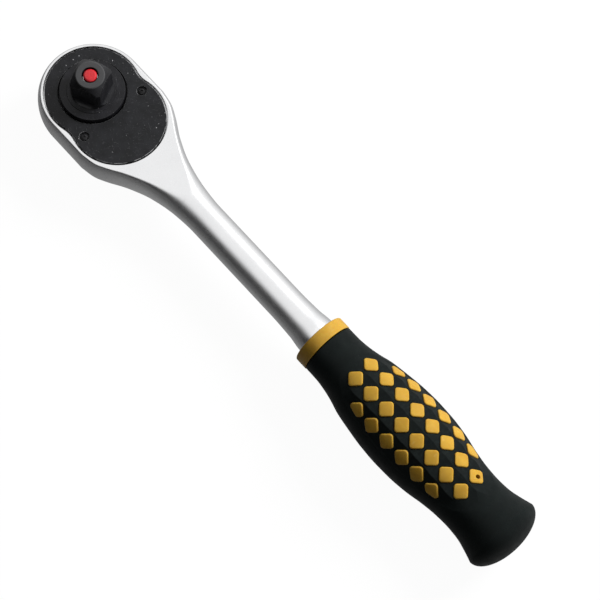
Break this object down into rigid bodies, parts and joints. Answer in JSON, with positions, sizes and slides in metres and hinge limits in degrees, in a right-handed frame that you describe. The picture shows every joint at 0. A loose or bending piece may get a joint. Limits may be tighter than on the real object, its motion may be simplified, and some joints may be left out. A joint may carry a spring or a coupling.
{
  "type": "ratchet wrench",
  "caption": "Reversible ratchet wrench with a pear-shaped head, square drive with ball detent and push-button release, and a two-colour moulded grip.",
  "frame": {"origin": "centre of the square drive's outer end, on the drive axis", "axes": "+X along the handle towards the butt, +Z out of the square drive"},
  "size_m": [0.256, 0.0426, 0.0389],
  "materials": {
    "satin_chrome": "satin pearl chrome plate",
    "black_oxide_plate": "matte black phosphate with bright worn edges",
    "black_oxide_drive": "black oxide, lightly oiled",
    "bright_steel": "ground",
    "tool_steel": "ground, lightly oiled",
    "spring_steel": "drawn wire",
    "button_steel": "satin chrome",
    "lever_black": "black, satin",
    "red_enamel": "glossy red",
    "seal_rubber": "matte black",
    "yellow_nylon": "amber yellow, slightly translucent",
    "black_rubber": "soft-touch matte black"
  },
  "bodies": {
    "handle": {"ratchet_body": "satin_chrome", "cover_plate": "black_oxide_plate", "cover_screw_left": "black_oxide_plate", "cover_screw_right": "black_oxide_plate", "thrust_washer": "bright_steel", "pawl_pin": "bright_steel", "grip_core": "yellow_nylon", "grip_sleeve": "black_rubber"},
    "drive": {"drive_spindle": "black_oxide_drive", "drive_seal": "seal_rubber", "release_spring": "spring_steel"},
    "release": {"release_button": "button_steel", "release_plunger": "bright_steel", "release_tip": "red_enamel"},
    "ball": {"detent_ball": "bright_steel"},
    "pawl": {"pawl": "tool_steel"},
    "reverser": {"reverser_lever": "lever_black", "lever_seal": "seal_rubber", "lever_clip": "spring_steel", "reverser_plunger": "bright_steel", "reverser_spring": "spring_steel"}
  },
  "joints": [
    {"name": "drive_spin", "type": "hinge", "parent": "handle", "child": "drive", "pos_m": [0, 0, 0], "axis": [0, 0, 1], "continuous": true},
    {"name": "release_press", "type": "slide", "parent": "drive", "child": "release", "axis": [0, 0, 1], "range_m": [0, 0.0025], "deforming": ["release_spring"]},
    {"name": "ball_retract", "type": "slide", "parent": "drive", "child": "ball", "axis": [-0.4274, 0.9041, 0], "range_m": [-0.00125, 0]},
    {"name": "lever_turn", "type": "hinge", "parent": "handle", "child": "reverser", "pos_m": [0.0262, 0, 0], "axis": [0, 0, 1], "range_deg": [-60, 0]},
    {"name": "pawl_rock", "type": "hinge", "parent": "handle", "child": "pawl", "pos_m": [0.0182, 0, 0], "axis": [0, 0, 1], "range_deg": [0, 10]}
  ],
  "couplings": [
    {"joint": "ball_retract", "follows": "release_press", "ratio": -0.5},
    {"joint": "pawl_rock", "follows": "lever_turn", "ratio": -0.1666}
  ]
}
